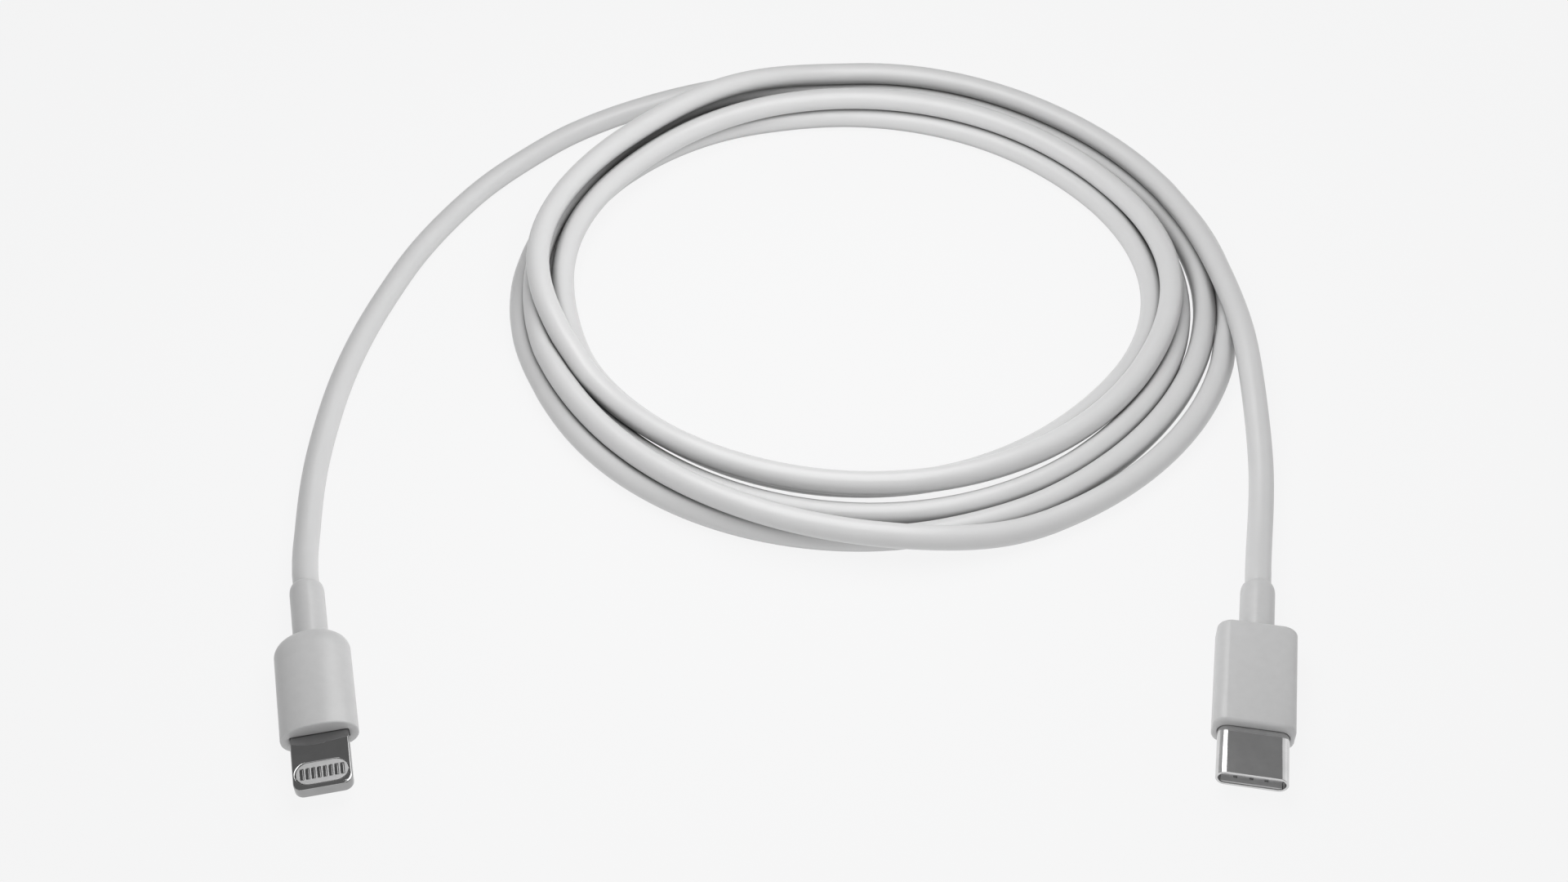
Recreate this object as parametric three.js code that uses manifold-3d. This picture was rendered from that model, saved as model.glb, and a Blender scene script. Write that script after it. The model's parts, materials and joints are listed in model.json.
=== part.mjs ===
import * as THREE from 'three';
import { mergeVertices } from 'three/addons/utils/BufferGeometryUtils.js';
import Module from 'manifold-3d';

const wasm = await Module();
wasm.setup();

// A charging cable: a flat blade plug at one end, an oval plug at the other, and a coiled round
// cord between them. Millimetres, +Z up, everything lies on z = 0. Both plugs point towards -Y.
// Each plug is drawn in its own frame first: x across, -y out of the mouth, z through its
// thickness, with the origin in the middle of its cover's front face.

const GAP = 0.05;
const SHEEN = { metalness: 0.9, roughness: 0.3 };

const CABLE = { radius: 1.6, gap: 0.3 };

const OVAL = {
  at: [53.7, -7.2],
  yawDeg: -10,
  cover: { width: 9.5, height: 4.7, length: 15.4, wall: 0.8, rearWall: 1.5, corner: 1.55, sleeve: 7.4 },
  shell: { width: 8.25, height: 2.4, wall: 0.3, out: 6.65, root: 1.5 },
  insulator: {
    recess: 0.15,
    entryHeight: 1.3,
    entryBackY: -5.65,
    mouthHeight: 0.84,
    backY: -1.2,
    rearY: 1.5,
    holeXs: [-1.8, 0, 1.7],
  },
  contact: { pitch: 0.5, count: 12, width: 0.22, thick: 0.12, restZ: 0.36, frontY: -5.6, rearY: 3.0 },
  latch: { pivotX: 3.35, pivotY: -1.1, rootRadius: 0.25, halfHeight: 0.3 },
  board: { width: 7.0, length: 6.6, thick: 0.6, startY: 1.95 },
  chip: { width: 3.2, length: 2.6, height: 0.8, y: 5.8 },
};

const BLADE = {
  at: [-53.7, -7.7],
  yawDeg: 12.5,
  cover: { width: 9.0, height: 5.2, length: 15.0, wall: 0.8, rearWall: 1.5, sleeve: 8.3 },
  plate: { width: 6.7, thick: 1.5, out: 7.6, root: 2.5, rootWidth: 5.8, tipRadius: 1.15, edge: 0.18 },
  insert: { width: 5.9, length: 3.0, centreY: -5.4, faceZ: 0.72 },
  contact: { pitch: 0.65, count: 8, width: 0.36, length: 1.5, topZ: 0.66, depth: 0.4 },
  board: { width: 6.2, length: 6.4, thick: 0.8, startY: 2.8 },
  chip: { width: 3.0, length: 2.4, height: 0.8, y: 6.2 },
};

const SLEEVE = {
  radius: 2.1,
  rim: 1.2,
  shoulder: 0.3,
  bore: 1.0,
  socket: 1.65,
  socketDepth: 3.0,
  neck: 1.25,
  flange: 1.5,
};

const WIRE = { radius: 0.32, offset: 0.46 };
const CRIMP = { inner: 1.2, outer: 1.45, length: 2.4 };

const COIL = {
  centre: [12.45, 71.9],
  inner: 36.4,
  outer: 51.6,
  height: 7.6,
  corner: 1.6,
};

// Middle line of each uncoiled stretch, from its plug's sleeve to the side of the coil.
const BLADE_LEAD = [
  [-60.5, 26.9, 1.9], [-61.0, 35.4, 1.6], [-60.8, 44.2, 1.6], [-60.0, 53.1, 1.6],
  [-58.4, 62.0, 1.6], [-56.0, 70.8, 1.6], [-53.0, 79.5, 1.6], [-49.1, 87.6, 1.6],
  [-44.5, 95.1, 1.6], [-39.0, 101.7, 1.6], [-33.0, 107.6, 1.6], [-27.4, 111.6, 1.6],
  [-21.9, 114.7, 1.6], [-16.2, 117.3, 1.6],
];
const OVAL_LEAD = [
  [59.9, 26.9, 1.8], [61.3, 35.5, 1.7], [61.9, 44.5, 2.0], [62.15, 52.2, 2.8],
];

const materials = {
  white: () => new THREE.MeshStandardMaterial({ color: 0xd6d6d6, roughness: 0.45 }),
  cord: () => new THREE.MeshStandardMaterial({ color: 0xd9d9d9, roughness: 0.5 }),
  steel: () => new THREE.MeshStandardMaterial({ color: 0xb9bcbd, ...SHEEN }),
  darkSteel: () => new THREE.MeshStandardMaterial({ color: 0x8a8f8f, ...SHEEN }),
  grey: () => new THREE.MeshStandardMaterial({ color: 0xa9acac, roughness: 0.55 }),
  plated: () => new THREE.MeshStandardMaterial({ color: 0xb4b2aa, ...SHEEN }),
  board: () => new THREE.MeshStandardMaterial({ color: 0x1f4f3a, roughness: 0.6 }),
  chip: () => new THREE.MeshStandardMaterial({ color: 0x2b2b2d, roughness: 0.6 }),
  copper: () => new THREE.MeshStandardMaterial({ color: 0xb06a3b, ...SHEEN }),
};

function bare(geometry) {
  const plain = geometry.clone();
  plain.deleteAttribute('normal');
  plain.deleteAttribute('uv');
  return mergeVertices(plain, 1e-4);
}

function signedVolume(geometry) {
  const p = geometry.getAttribute('position');
  const index = geometry.getIndex();
  const [a, b, c] = [new THREE.Vector3(), new THREE.Vector3(), new THREE.Vector3()];
  let sum = 0;
  for (let i = 0; i < index.count; i += 3) {
    a.fromBufferAttribute(p, index.getX(i));
    b.fromBufferAttribute(p, index.getX(i + 1));
    c.fromBufferAttribute(p, index.getX(i + 2));
    sum += a.dot(b.cross(c)) / 6;
  }
  return sum;
}

function outward(geometry) {
  const body = bare(geometry);
  if (signedVolume(body) < 0) {
    const index = Array.from(body.getIndex().array);
    for (let i = 0; i < index.length; i += 3) {
      [index[i], index[i + 1]] = [index[i + 1], index[i]];
    }
    body.setIndex(index);
  }
  return body;
}

function solid(geometry) {
  const body = outward(geometry);
  return new wasm.Manifold(new wasm.Mesh({
    numProp: 3,
    vertProperties: Float32Array.from(body.getAttribute('position').array),
    triVerts: Uint32Array.from(body.getIndex().array),
  }));
}

function geometryOf(manifold) {
  const mesh = manifold.getMesh();
  const geometry = new THREE.BufferGeometry();
  geometry.setAttribute('position', new THREE.BufferAttribute(mesh.vertProperties, 3));
  geometry.setIndex(new THREE.BufferAttribute(mesh.triVerts, 1));
  return geometry;
}

function cut(geometry, ...tools) {
  let body = solid(geometry);
  for (const tool of tools) {
    body = body.subtract(solid(tool));
  }
  return geometryOf(body);
}

function join(geometry, ...others) {
  let body = solid(geometry);
  for (const other of others) {
    body = body.add(solid(other));
  }
  return geometryOf(body);
}

function box([x0, x1], [y0, y1], [z0, z1]) {
  const geometry = new THREE.BoxGeometry(x1 - x0, y1 - y0, z1 - z0);
  return geometry.translate((x0 + x1) / 2, (y0 + y1) / 2, (z0 + z1) / 2);
}

function stadium(width, height) {
  const r = height / 2;
  const half = width / 2 - r;
  const shape = new THREE.Shape();
  shape.moveTo(-half, -r);
  shape.lineTo(half, -r);
  shape.absarc(half, 0, r, -Math.PI / 2, Math.PI / 2, false);
  shape.lineTo(-half, r);
  shape.absarc(-half, 0, r, Math.PI / 2, Math.PI * 1.5, false);
  return shape;
}

function extrude(shape, depth, edge = 0, curveSegments = 8) {
  const bevel = edge > 0
    ? { bevelEnabled: true, bevelThickness: edge, bevelSize: edge, bevelOffset: -edge, bevelSegments: 2 }
    : { bevelEnabled: false };
  const geometry = new THREE.ExtrudeGeometry(shape, { depth: depth - 2 * edge, curveSegments, ...bevel });
  return geometry.translate(0, 0, edge);
}

// A shape drawn in x and z, drawn out along y.
function alongY(shape, y0, y1, edge = 0, curveSegments = 8) {
  return extrude(shape, y1 - y0, edge, curveSegments).rotateX(Math.PI / 2).translate(0, y1, 0);
}

// A shape drawn in x and y, drawn out along z.
function alongZ(shape, z0, z1, edge = 0, curveSegments = 8) {
  return extrude(shape, z1 - z0, edge, curveSegments).translate(0, 0, z0);
}

// A shape drawn in y and z, drawn out along x.
function alongX(shape, x0, x1) {
  const turn = new THREE.Matrix4().set(0, 0, 1, 0, 1, 0, 0, 0, 0, 1, 0, 0, 0, 0, 0, 1);
  return extrude(shape, x1 - x0).applyMatrix4(turn).translate(x0, 0, 0);
}

function turned(profile, segments = 32) {
  const points = profile.map(([r, y]) => new THREE.Vector2(r, y));
  points.push(points[0].clone());
  return new THREE.LatheGeometry(points, segments);
}

// A closed skin through matching rings of points, with flat ends.
function loft(rings) {
  const count = rings[0].length;
  const positions = [];
  const index = [];
  for (const ring of rings) {
    for (const point of ring) {
      positions.push(...point);
    }
  }
  for (let i = 0; i + 1 < rings.length; i += 1) {
    for (let j = 0; j < count; j += 1) {
      const k = (j + 1) % count;
      const [a, b] = [i * count + j, i * count + k];
      index.push(a, b, b + count, a, b + count, a + count);
    }
  }
  const last = (rings.length - 1) * count;
  for (let j = 1; j + 1 < count; j += 1) {
    index.push(0, j + 1, j);
    index.push(last, last + j, last + j + 1);
  }
  const geometry = new THREE.BufferGeometry();
  geometry.setAttribute('position', new THREE.Float32BufferAttribute(positions, 3));
  geometry.setIndex(index);
  return geometry;
}

// Rounded section at one y: power 2 is an ellipse, and higher powers square it up.
function section(halfWidth, halfHeight, y, power, count = 48) {
  const ring = [];
  for (let i = 0; i < count; i += 1) {
    const t = (i / count) * Math.PI * 2;
    const [c, s] = [Math.cos(t), Math.sin(t)];
    const x = halfWidth * Math.sign(c) * Math.abs(c) ** (2 / power);
    const z = halfHeight * Math.sign(s) * Math.abs(s) ** (2 / power);
    ring.push([x, y, z]);
  }
  return ring;
}

function flatSection(halfWidth, halfHeight, y, count = 48) {
  const ring = [];
  const r = OVAL.cover.corner;
  for (let i = 0; i < count; i += 1) {
    const t = ((i + 0.5) / count) * Math.PI * 2;
    const [c, s] = [Math.cos(t), Math.sin(t)];
    const x = Math.sign(c) * (halfWidth - r) + r * c;
    const z = Math.sign(s) * (halfHeight - r) + r * s;
    ring.push([x, y, z]);
  }
  return ring;
}

// Outer skin of a cover: how far each ring is pulled in near the front and rear edges.
function coverSkin(size, ringAt, front, rearSide, rearTop) {
  const [a, b, length] = [size.width / 2, size.height / 2, size.length];
  const rings = [];
  const quarter = [0, 0.3, 0.6, 0.85, 1];
  for (const t of quarter) {
    const u = Math.PI / 2 * t;
    const pull = front * (1 - Math.sin(u));
    rings.push(ringAt(a - pull, b - pull, front * (1 - Math.cos(u))));
  }
  for (const t of [0, 0.2, 0.4, 0.6, 0.8, 1]) {
    const u = Math.PI / 2 * t;
    const y = length - rearSide * (1 - Math.sin(u));
    const side = rearSide * (1 - Math.cos(u));
    const top = rearTop * (1 - Math.cos(u));
    rings.push(ringAt(a - side, b - top, y));
  }
  return loft(rings);
}

function cylinderAlongY(radius, y0, y1, x = 0, z = 0, segments = 24) {
  const geometry = new THREE.CylinderGeometry(radius, radius, y1 - y0, segments);
  return geometry.translate(x, (y0 + y1) / 2, z);
}

// Hollow cover: a mouth for the plug's tongue, a chamber, and a hole for the sleeve's neck.
function cover(size, skin, mouth, mouthDepth) {
  const chamber = alongY(
    stadium(size.width - 2 * size.wall, size.height - 2 * size.wall),
    mouthDepth,
    size.length - size.rearWall,
  );
  const neckHole = cylinderAlongY(SLEEVE.neck + GAP, size.length - size.rearWall - 0.2, size.length + 0.5);
  return cut(skin, chamber, alongY(mouth, -0.5, mouthDepth + 0.2), neckHole);
}

// Strain relief: flange and neck inside the cover, a round sleeve outside, a socket for the cord.
function sleeve(size) {
  const start = size.length + GAP;
  const end = size.length + size.sleeve;
  const inside = size.length - size.rearWall - GAP;
  const profile = [
    [SLEEVE.bore, inside - 0.7],
    [SLEEVE.flange - 0.15, inside - 0.7],
    [SLEEVE.flange, inside - 0.55],
    [SLEEVE.flange, inside],
    [SLEEVE.neck, inside],
    [SLEEVE.neck, start],
    [SLEEVE.radius - 0.1, start],
    [SLEEVE.radius, start + 0.1],
  ];
  for (const t of [0, 0.25, 0.5, 0.75, 1]) {
    const u = Math.PI / 2 * t;
    profile.push([
      SLEEVE.radius - SLEEVE.shoulder * (1 - Math.cos(u)),
      end - SLEEVE.rim * (1 - Math.sin(u)),
    ]);
  }
  profile.push([SLEEVE.socket, end]);
  profile.push([SLEEVE.socket, end - SLEEVE.socketDepth]);
  profile.push([SLEEVE.bore, end - SLEEVE.socketDepth]);
  return turned(profile);
}

function wires(prefix, size, boardEnd) {
  const y1 = size.length + size.sleeve - SLEEVE.socketDepth;
  const names = ['power', 'ground', 'data_a', 'data_b'];
  return names.map((name, i) => {
    const x = (i % 2 ? 1 : -1) * WIRE.offset;
    const z = (i < 2 ? 1 : -1) * WIRE.offset;
    const core = cylinderAlongY(WIRE.radius, boardEnd + 0.3, y1, x, z, 10);
    return [`${prefix}_wire_${name}`, core, 'copper'];
  });
}

function crimp(size) {
  const end = size.length - size.rearWall - 1.1;
  return turned([
    [CRIMP.inner, end - CRIMP.length],
    [CRIMP.outer, end - CRIMP.length],
    [CRIMP.outer, end],
    [CRIMP.inner, end],
  ], 24);
}

function chipOn(board, chip) {
  const z0 = board.thick / 2 + GAP;
  const body = box(
    [-chip.width / 2, chip.width / 2],
    [chip.y - chip.length / 2, chip.y + chip.length / 2],
    [z0, z0 + chip.height],
  );
  const dimple = new THREE.CylinderGeometry(0.2, 0.2, 0.2, 16).rotateX(Math.PI / 2)
    .translate(-chip.width / 2 + 0.5, chip.y - chip.length / 2 + 0.5, z0 + chip.height);
  return cut(body, dimple);
}

function boardPlate(board) {
  const shape = new THREE.Shape();
  const [a, y0, y1] = [board.width / 2, board.startY, board.startY + board.length];
  shape.moveTo(-a, y0);
  shape.lineTo(a, y0);
  shape.lineTo(a, y1 - 2);
  shape.lineTo(a - 1.2, y1);
  shape.lineTo(1.2 - a, y1);
  shape.lineTo(-a, y1 - 2);
  return alongZ(shape, -board.thick / 2, board.thick / 2);
}

function ovalShell() {
  const s = OVAL.shell;
  const ring = stadium(s.width, s.height);
  ring.holes.push(stadium(s.width - 2 * s.wall, s.height - 2 * s.wall));
  return alongY(ring, -s.out, s.root, 0.08, 10);
}

function contactXs(contact) {
  const xs = [];
  for (let i = 0; i < contact.count; i += 1) {
    xs.push((i - (contact.count - 1) / 2) * contact.pitch);
  }
  return xs;
}

// Which of the twelve places are filled, above and below.
const OVAL_UPPER = [0, 3, 4, 5, 6, 8, 11];
const OVAL_LOWER = [0, 3, 4, 8, 11];

function ovalInsulator() {
  const [s, n, c, l] = [OVAL.shell, OVAL.insulator, OVAL.contact, OVAL.latch];
  const width = s.width - 2 * s.wall - 2 * GAP;
  const height = s.height - 2 * s.wall - 2 * GAP;
  const frontY = -s.out + n.recess;
  const body = alongY(stadium(width, height), frontY, n.rearY);
  const mouth = box([-5, 5], [frontY - 1, n.backY], [-n.mouthHeight / 2, n.mouthHeight / 2]);
  const entry = box([-5, 5], [frontY - 1, n.entryBackY], [-n.entryHeight / 2, n.entryHeight / 2]);
  const tools = [mouth, entry];
  for (const side of [-1, 1]) {
    const socket = new THREE.CylinderGeometry(l.rootRadius + GAP, l.rootRadius + GAP, n.mouthHeight, 20);
    tools.push(socket.rotateX(Math.PI / 2).translate(side * l.pivotX, l.pivotY, 0));
    tools.push(box(
      [side > 0 ? l.pivotX : -5, side > 0 ? 5 : -l.pivotX],
      [n.backY - 0.1, l.pivotY + l.rootRadius + GAP],
      [-n.mouthHeight / 2, n.mouthHeight / 2],
    ));
  }
  const xs = contactXs(c);
  for (const [filled, sign] of [[OVAL_UPPER, 1], [OVAL_LOWER, -1]]) {
    for (const i of filled) {
      const z = [c.restZ - GAP, c.restZ + c.thick + GAP].map((v) => v * sign).sort((a, b) => a - b);
      const half = c.width / 2 + GAP;
      tools.push(box([xs[i] - half, xs[i] + half], [c.frontY - GAP, n.rearY + 0.5], z));
    }
  }
  for (const x of n.holeXs) {
    tools.push(box([x - 0.22, x + 0.22], [n.entryBackY - 0.3, n.entryBackY + 0.1], [-0.95, -0.3]));
  }
  return cut(body, ...tools);
}

// Spring contact: a long flat leaf, bowed towards the middle near its tip.
function ovalContact(x, sign) {
  const c = OVAL.contact;
  const line = [
    [c.rearY, c.restZ], [-4.6, c.restZ], [-5.0, c.restZ - 0.09],
    [-5.25, c.restZ - 0.09], [c.frontY, c.restZ + 0.02],
  ];
  const shape = new THREE.Shape();
  line.forEach(([y, z], i) => (i ? shape.lineTo(y, sign * z) : shape.moveTo(y, sign * z)));
  for (const [y, z] of line.reverse()) {
    shape.lineTo(y, sign * (z + c.thick));
  }
  return alongX(shape, x - c.width / 2, x + c.width / 2);
}

// Side latch spring: a thin arm with a hook that grips the edge of the mating tongue.
function ovalLatch(side) {
  const l = OVAL.latch;
  const arm = new THREE.Shape();
  const points = [
    [3.25, -1.1], [3.45, -1.1], [3.5, -2.4], [3.5, -5.3], [3.42, -5.6], [3.34, -5.6],
    [3.34, -5.35], [3.16, -5.05], [3.16, -4.9], [3.32, -4.5], [3.3, -2.4],
  ];
  points.forEach(([x, y], i) => (i ? arm.lineTo(side * x, y) : arm.moveTo(side * x, y)));
  const blade = alongZ(arm, -l.halfHeight, l.halfHeight);
  const root = new THREE.CylinderGeometry(l.rootRadius, l.rootRadius, 2 * l.halfHeight, 20);
  return join(blade, root.rotateX(Math.PI / 2).translate(side * l.pivotX, l.pivotY, 0));
}

function bladePlate() {
  const p = BLADE.plate;
  const [a, r, tip] = [p.width / 2, p.tipRadius, -p.out];
  const shape = new THREE.Shape();
  shape.moveTo(-a + r, tip);
  shape.lineTo(a - r, tip);
  shape.absarc(a - r, tip + r, r, -Math.PI / 2, 0, false);
  shape.lineTo(a, 0.6);
  shape.lineTo(p.rootWidth / 2, 0.6);
  shape.lineTo(p.rootWidth / 2, p.root);
  shape.lineTo(-p.rootWidth / 2, p.root);
  shape.lineTo(-p.rootWidth / 2, 0.6);
  shape.lineTo(-a, 0.6);
  shape.lineTo(-a, tip + r);
  shape.absarc(-a + r, tip + r, r, Math.PI, Math.PI * 1.5, false);
  const plate = alongZ(shape, -p.thick / 2, p.thick / 2, p.edge);
  const n = BLADE.insert;
  const window = alongZ(stadium(n.width + 2 * GAP, n.length + 2 * GAP), -2, 2, 0, 12)
    .translate(0, n.centreY, 0);
  return cut(plate, window);
}

function bladeInsert(sign) {
  const [n, c] = [BLADE.insert, BLADE.contact];
  const z = [GAP / 2, n.faceZ].map((v) => v * sign).sort((a, b) => a - b);
  const plug = alongZ(stadium(n.width, n.length), z[0], z[1], 0, 12).translate(0, n.centreY, 0);
  const pockets = contactXs(c).map((x) => {
    const pocketZ = [c.topZ - c.depth - GAP, 2].map((v) => v * sign).sort((a, b) => a - b);
    const half = [c.width / 2 + GAP, c.length / 2 + GAP];
    return box([x - half[0], x + half[0]], [n.centreY - half[1], n.centreY + half[1]], pocketZ);
  });
  return cut(plug, ...pockets);
}

function bladeContact(x, sign) {
  const [n, c] = [BLADE.insert, BLADE.contact];
  const shape = new THREE.Shape();
  const [a, b, k] = [c.width / 2, c.length / 2, 0.08];
  const corners = [
    [-a + k, -b], [a - k, -b], [a, -b + k], [a, b - k], [a - k, b], [-a + k, b], [-a, b - k], [-a, -b + k],
  ];
  corners.forEach(([u, v], i) => (i ? shape.lineTo(u, v) : shape.moveTo(u, v)));
  const z = [c.topZ - c.depth, c.topZ].map((v) => v * sign).sort((p, q) => p - q);
  return alongZ(shape, z[0], z[1]).translate(x, n.centreY, 0);
}

function number(i) {
  return String(i + 1).padStart(2, '0');
}

function ovalPieces() {
  const size = OVAL.cover;
  const skin = coverSkin(size, flatSection, 0.45, 0.6, 0.4);
  const mouth = stadium(OVAL.shell.width + 2 * GAP, OVAL.shell.height + 2 * GAP);
  const xs = contactXs(OVAL.contact);
  return [
    ['oval_cover', cover(size, skin, mouth, OVAL.shell.root + 0.1), 'white'],
    ['oval_sleeve', sleeve(size), 'white'],
    ['oval_shell', ovalShell(), 'steel'],
    ['oval_insulator', ovalInsulator(), 'grey'],
    ['oval_latch_right', ovalLatch(1), 'steel'],
    ['oval_latch_left', ovalLatch(-1), 'steel'],
    ['oval_board', boardPlate(OVAL.board), 'board'],
    ['oval_chip', chipOn(OVAL.board, OVAL.chip), 'chip'],
    ['oval_crimp_ring', crimp(size), 'steel'],
    ...OVAL_UPPER.map((i) => [`oval_contact_a${number(i)}`, ovalContact(xs[i], 1), 'plated']),
    ...OVAL_LOWER.map((i) => [`oval_contact_b${number(i)}`, ovalContact(xs[i], -1), 'plated']),
    ...wires('oval', size, OVAL.board.startY + OVAL.board.length),
  ];
}

function bladePieces() {
  const size = BLADE.cover;
  const skin = coverSkin(size, (a, b, y) => section(a, b, y, 2.3), 0.2, 2.6, 1.0);
  const mouth = new THREE.Shape();
  const [a, b] = [BLADE.plate.width / 2 + GAP, BLADE.plate.thick / 2 + GAP];
  mouth.moveTo(-a, -b);
  mouth.lineTo(a, -b);
  mouth.lineTo(a, b);
  mouth.lineTo(-a, b);
  const pads = contactXs(BLADE.contact);
  return [
    ['blade_cover', cover(size, skin, mouth, 1.2), 'white'],
    ['blade_sleeve', sleeve(size), 'white'],
    ['blade_plate', bladePlate(), 'darkSteel'],
    ['blade_insert_top', bladeInsert(1), 'white'],
    ['blade_insert_bottom', bladeInsert(-1), 'white'],
    ['blade_board', boardPlate(BLADE.board), 'board'],
    ['blade_chip', chipOn(BLADE.board, BLADE.chip), 'chip'],
    ['blade_crimp_ring', crimp(size), 'steel'],
    ...pads.map((x, i) => [`blade_contact_top_${number(i)}`, bladeContact(x, 1), 'plated']),
    ...pads.map((x, i) => [`blade_contact_bottom_${number(i)}`, bladeContact(x, -1), 'plated']),
    ...wires('blade', size, BLADE.board.startY + BLADE.board.length),
  ];
}

// Point on a plug's own axis, in the shared frame, a distance behind its cover's front face.
function axisPoint(plug, back) {
  const yaw = THREE.MathUtils.degToRad(plug.yawDeg);
  return new THREE.Vector3(
    plug.at[0] - Math.sin(yaw) * back,
    plug.at[1] + Math.cos(yaw) * back,
    plug.cover.height / 2,
  );
}

// Eight-sided length of cord from a plug's sleeve along its route.
function lead(plug, route) {
  const end = plug.cover.length + plug.cover.sleeve + CABLE.gap;
  const points = [axisPoint(plug, end), axisPoint(plug, end + 4)];
  points.push(...route.map((p) => new THREE.Vector3(...p)));
  const path = new THREE.CatmullRomCurve3(points, false, 'centripetal');
  const shape = new THREE.Shape();
  for (let i = 0; i < 8; i += 1) {
    const t = (i + 0.5) * Math.PI / 4;
    const [x, y] = [CABLE.radius * Math.cos(t), CABLE.radius * Math.sin(t)];
    if (i) {
      shape.lineTo(x, y);
    } else {
      shape.moveTo(x, y);
    }
  }
  const steps = Math.round(path.getLength() / (CABLE.radius * 4));
  return new THREE.ExtrudeGeometry(shape, { steps, bevelEnabled: false, extrudePath: path });
}

function coilRing() {
  const { inner, outer, height, corner } = COIL;
  const ring = turned([
    [inner + corner, 0], [outer - corner, 0], [outer, corner], [outer, height - corner],
    [outer - corner, height], [inner + corner, height], [inner, height - corner], [inner, corner],
  ], 60);
  return ring.rotateX(Math.PI / 2).translate(COIL.centre[0], COIL.centre[1], 0);
}

const group = new THREE.Group();
group.name = 'charging_cable';

function place(name, geometry, kind, plug) {
  const body = outward(geometry);
  if (plug) {
    body.rotateZ(THREE.MathUtils.degToRad(plug.yawDeg));
    body.translate(plug.at[0], plug.at[1], plug.cover.height / 2);
  }
  const material = materials[kind]();
  material.name = name;
  const mesh = new THREE.Mesh(body, material);
  mesh.name = name;
  group.add(mesh);
}

for (const [name, geometry, kind] of ovalPieces()) {
  place(name, geometry, kind, OVAL);
}
for (const [name, geometry, kind] of bladePieces()) {
  place(name, geometry, kind, BLADE);
}
place('cord_lead_oval', lead(OVAL, OVAL_LEAD), 'cord');
place('cord_lead_blade', lead(BLADE, BLADE_LEAD), 'cord');
place('cord_coil', coilRing(), 'cord');

export default group;
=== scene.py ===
import json
import math

import bmesh
import bpy
import numpy as np
from mathutils import Matrix, Vector


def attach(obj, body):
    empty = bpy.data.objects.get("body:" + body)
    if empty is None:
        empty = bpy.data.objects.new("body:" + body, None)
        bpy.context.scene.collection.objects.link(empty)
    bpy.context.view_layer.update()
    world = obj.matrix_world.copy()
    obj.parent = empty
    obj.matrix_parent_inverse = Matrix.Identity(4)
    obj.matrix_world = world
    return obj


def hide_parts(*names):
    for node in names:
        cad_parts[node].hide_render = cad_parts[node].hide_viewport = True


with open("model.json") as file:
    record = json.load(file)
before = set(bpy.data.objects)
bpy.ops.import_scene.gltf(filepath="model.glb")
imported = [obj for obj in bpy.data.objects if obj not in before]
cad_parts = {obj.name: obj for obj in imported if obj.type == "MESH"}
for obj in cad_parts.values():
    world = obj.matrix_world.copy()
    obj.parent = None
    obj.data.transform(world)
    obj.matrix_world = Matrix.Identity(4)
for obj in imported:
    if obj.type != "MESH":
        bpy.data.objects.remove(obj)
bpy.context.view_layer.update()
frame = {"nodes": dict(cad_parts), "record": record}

# A charging cable lying on a pale floor. The frame is in metres; the sizes below are millimetres,
# as in the CAD, and MM turns them into metres.
MM = 0.001

CABLE_RADIUS = 1.6
CABLE_DIAMETER = 2 * CABLE_RADIUS

OVAL = {
    "at": (53.7, -7.2), "yaw": -10.0,
    "width": 9.5, "height": 4.7, "length": 15.4, "corner": 1.55, "sleeve": 7.4,
    "shell_width": 8.25, "shell_height": 2.4, "shell_wall": 0.3, "shell_out": 6.65,
    "shell_edge": 0.08, "shell_root": 1.4,
}
BLADE = {
    "at": (-53.7, -7.7), "yaw": 12.5,
    "width": 9.0, "height": 5.2, "length": 15.0, "section": 2.3, "sleeve": 8.3,
    "plate_width": 6.7, "plate_thick": 1.5, "plate_out": 7.6, "plate_root": 1.0,
    "plate_edge": 0.18, "tip_radius": 1.15, "window_gap": 0.1,
    "insert_width": 5.9, "insert_length": 3.0, "insert_y": -5.4, "insert_low": 0.025,
    "insert_face": 0.72, "insert_edge": 0.05,
    "contacts": 8, "pitch": 0.65, "contact_width": 0.36, "contact_length": 1.5,
    "contact_corner": 0.08, "contact_low": 0.26, "contact_top": 0.66, "contact_edge": 0.07,
    "slot_width": 0.46, "slot_length": 1.6, "slot_corner": 0.12,
}
SLEEVE = {
    "radius": 2.1, "rim": 1.2, "shoulder": 0.3, "socket": 1.65, "socket_depth": 3.0,
    "socket_lip": 0.05, "bore": 1.0, "neck": 1.3, "buried": 0.9,
}
# The mouth of a cover: its room round the metal, the width of its lip and the depth of its skin.
MOUTH_GAP, MOUTH_LIP, MOUTH_DEPTH = 0.1, 0.06, 1.1
# The hole at the back of a cover, under the sleeve.
REAR_HOLE, REAR_DEPTH = 2.6, 1.2
# How far the cord reaches into a sleeve, and how far it runs straight on out of it.
CORD_INSIDE, CORD_STRAIGHT = 2.6, 4.0
COIL_CENTRE = (12.45, 71.9)

# Middle line of each uncoiled stretch, in millimetres, the same points as in the CAD.
BLADE_LEAD = [
    (-60.5, 26.9, 1.9), (-61.0, 35.4, 1.6), (-60.8, 44.2, 1.6), (-60.0, 53.1, 1.6),
    (-58.4, 62.0, 1.6), (-56.0, 70.8, 1.6), (-53.0, 79.5, 1.6), (-49.1, 87.6, 1.6),
    (-44.5, 95.1, 1.6), (-39.0, 101.7, 1.6), (-33.0, 107.6, 1.6), (-27.4, 111.6, 1.6),
    (-21.9, 114.7, 1.6), (-16.2, 117.3, 1.6),
]
OVAL_LEAD = [
    (59.9, 26.9, 1.8), (61.3, 35.5, 1.7), (61.9, 44.5, 2.0), (62.15, 52.2, 2.8),
]

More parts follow.
